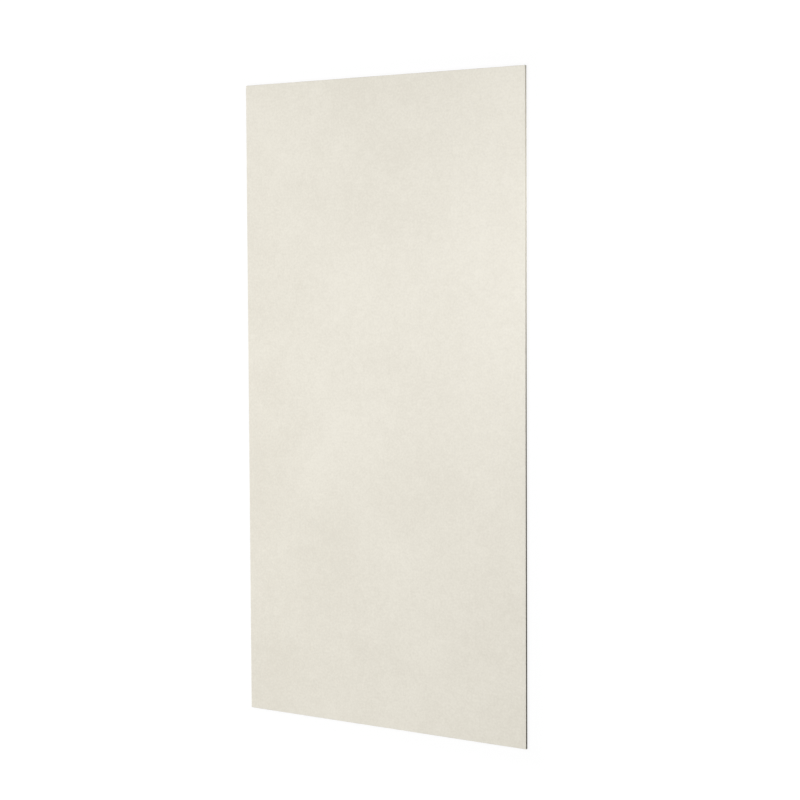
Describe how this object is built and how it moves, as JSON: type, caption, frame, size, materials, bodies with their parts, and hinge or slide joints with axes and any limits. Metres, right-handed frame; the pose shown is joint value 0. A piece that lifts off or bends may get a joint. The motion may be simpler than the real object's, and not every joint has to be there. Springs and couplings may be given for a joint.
{
  "type": "shower wall panel",
  "caption": "Flat rectangular wall sheet for a shower: one cast slab with a smooth matte show face, eased edges and a plain back that is glued to the wall.",
  "frame": {"origin": "middle of the back face, which lies on the floor", "axes": "+X to the right-hand edge as the hung panel is seen, +Y to its top edge, +Z out of the show face"},
  "size_m": [1.2192, 2.4384, 0.0095],
  "materials": {
    "solid_surface": "matte"
  },
  "bodies": {
    "root": {"panel": "solid_surface"}
  },
  "joints": []
}
